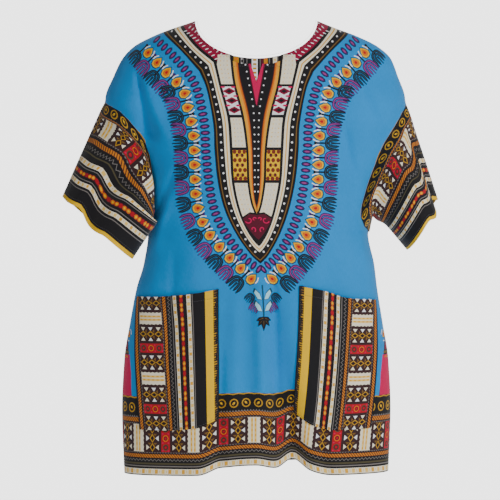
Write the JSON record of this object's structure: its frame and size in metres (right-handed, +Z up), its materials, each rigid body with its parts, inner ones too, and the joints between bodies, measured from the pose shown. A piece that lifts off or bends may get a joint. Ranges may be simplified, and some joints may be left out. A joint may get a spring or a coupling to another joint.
{
  "type": "dashiki shirt",
  "caption": "Loose printed pullover shirt with a round slit neck, drop shoulders, short wide sleeves and patch pockets, in its hollow worn form.",
  "frame": {"origin": "midway between the two neck points, level with them, where the wearer's shoulders hold the shirt", "axes": "+X to the viewer's right as seen from the front, -Y out of the front, +Z up"},
  "size_m": [0.65, 0.2252, 0.7837],
  "materials": {
    "panel_print": "printed cotton, turquoise blue ground",
    "border_print": "printed cotton, black and gold border"
  },
  "bodies": {
    "root": {"front_panel": "panel_print", "back_panel": "panel_print", "sleeve_left": "border_print", "sleeve_right": "border_print", "pocket_left": "border_print", "pocket_right": "border_print", "neck_facing": "border_print"}
  },
  "joints": []
}
